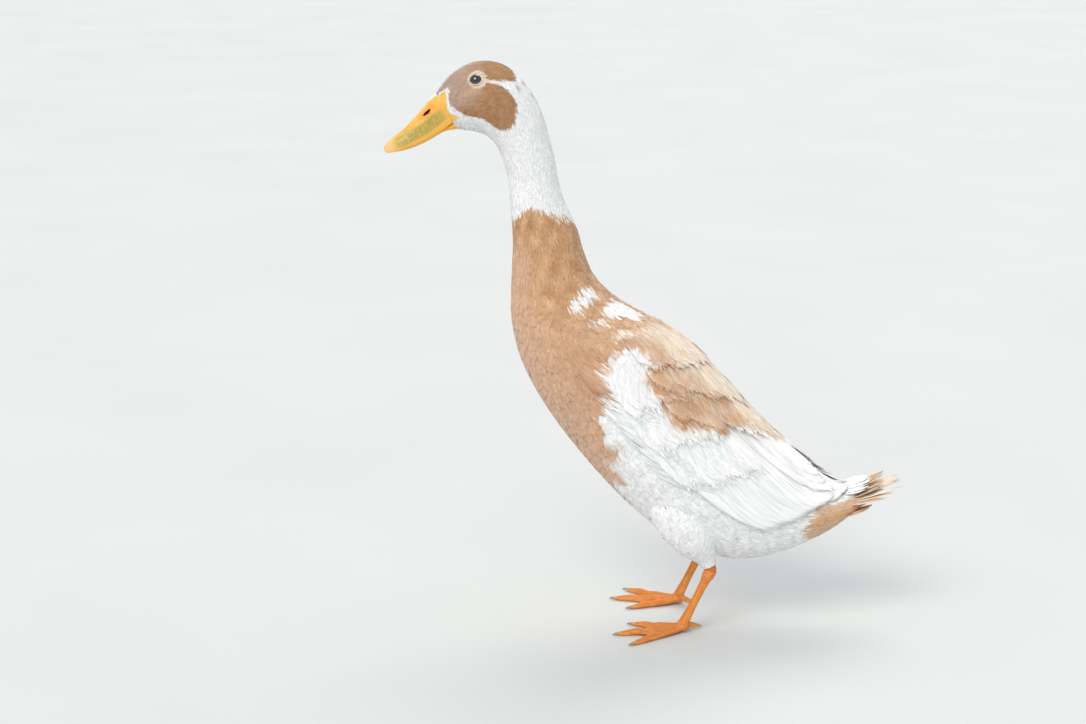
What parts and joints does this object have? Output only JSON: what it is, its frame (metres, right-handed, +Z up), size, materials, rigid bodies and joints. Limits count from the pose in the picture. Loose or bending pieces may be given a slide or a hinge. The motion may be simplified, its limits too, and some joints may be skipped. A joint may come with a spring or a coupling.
{
  "type": "indian runner duck",
  "caption": "Standing fawn-and-white Indian runner duck: upright body, long raised neck, folded wings, short tail, webbed feet flat on the floor.",
  "frame": {"origin": "on the floor, below the middle of the bird's length and width", "axes": "+Z up; -X the way the bird faces; +Y towards its right side"},
  "size_m": [0.4708, 0.142, 0.5276],
  "materials": {
    "fawn_feathers": "soft matt feathers, fawn with paler edges",
    "white_feathers": "soft matt feathers, clean white",
    "bill_horn": "satin yellow horn with an olive middle",
    "nail_horn": "satin pale horn",
    "eye": "wet gloss, nearly black",
    "leg_skin": "scaled orange skin",
    "claw_horn": "satin brown horn"
  },
  "bodies": {
    "root": {"head": "fawn_feathers", "neck_upper": "white_feathers", "neck_lower": "fawn_feathers", "torso": "fawn_feathers", "rump": "white_feathers", "tail": "fawn_feathers", "wing_left": "white_feathers", "wing_right": "white_feathers", "bill_upper": "bill_horn", "bill_lower": "bill_horn", "bill_nail": "nail_horn", "eye_left": "eye", "eye_right": "eye", "thigh_left": "white_feathers", "thigh_right": "white_feathers", "shank_left": "leg_skin", "shank_right": "leg_skin", "foot_left": "leg_skin", "foot_right": "leg_skin", "claw_left_inner": "claw_horn", "claw_left_middle": "claw_horn", "claw_left_outer": "claw_horn", "claw_left_hind": "claw_horn", "claw_right_inner": "claw_horn", "claw_right_middle": "claw_horn", "claw_right_outer": "claw_horn", "claw_right_hind": "claw_horn"}
  },
  "joints": []
}
